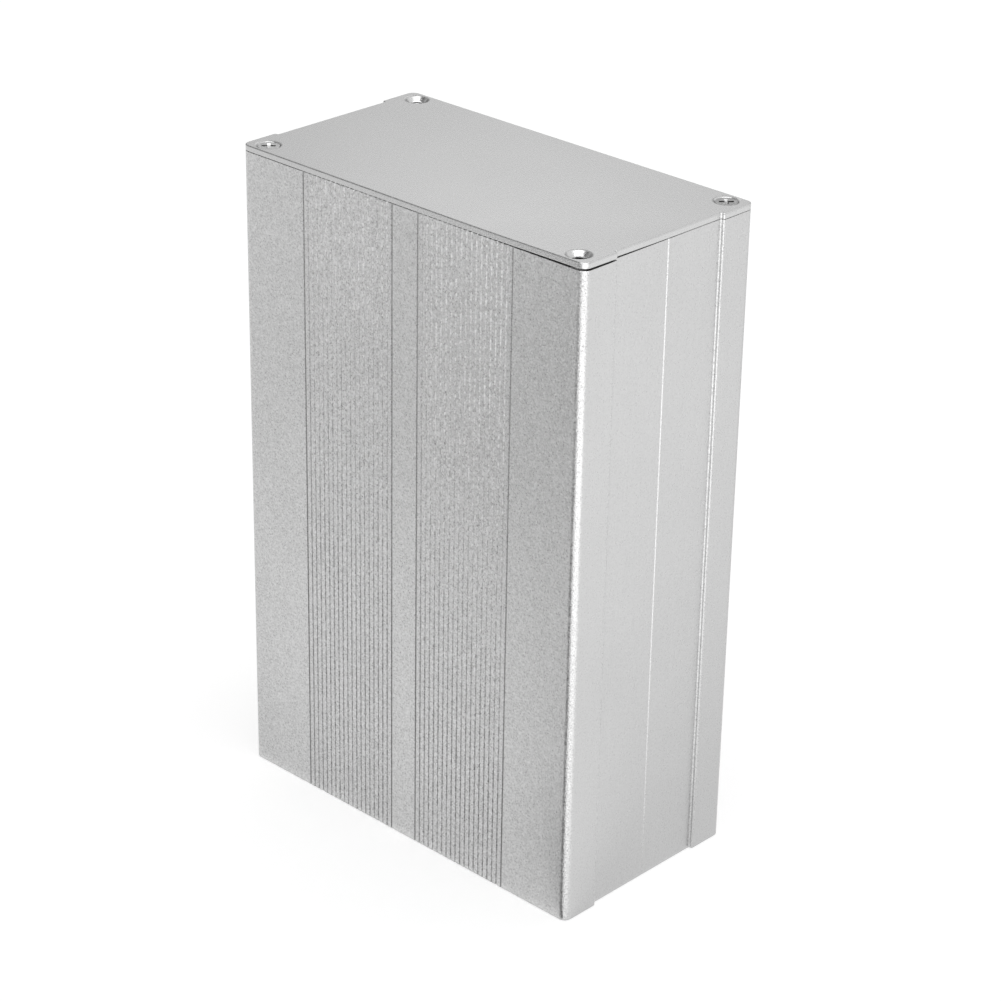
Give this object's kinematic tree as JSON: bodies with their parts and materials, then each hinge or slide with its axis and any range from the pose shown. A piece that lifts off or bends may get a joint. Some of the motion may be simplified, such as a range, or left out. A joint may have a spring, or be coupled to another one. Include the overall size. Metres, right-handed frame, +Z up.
{
  "type": "aluminum project box",
  "caption": "Split-body aluminium project box standing on its open end: ribbed extruded shells joined by tongue and groove, with screw channels, board slots and a countersunk end plate on top.",
  "frame": {"origin": "centre of the lower end of the shells, on the surface the box stands on", "axes": "+Z up along the extrusions, +X along the wide ribbed faces, +Y through the depth from the front shell to the back shell"},
  "size_m": [0.106, 0.055, 0.1619],
  "materials": {
    "shell_aluminium": "bead-blasted and clear anodised, satin",
    "plate_aluminium": "bead-blasted and clear anodised sheet, satin",
    "screw_steel": "bright nickel plating"
  },
  "bodies": {
    "root": {"front_shell": "shell_aluminium", "back_shell": "shell_aluminium", "end_plate": "plate_aluminium", "screw_left": "screw_steel", "screw_right": "screw_steel"}
  },
  "joints": []
}
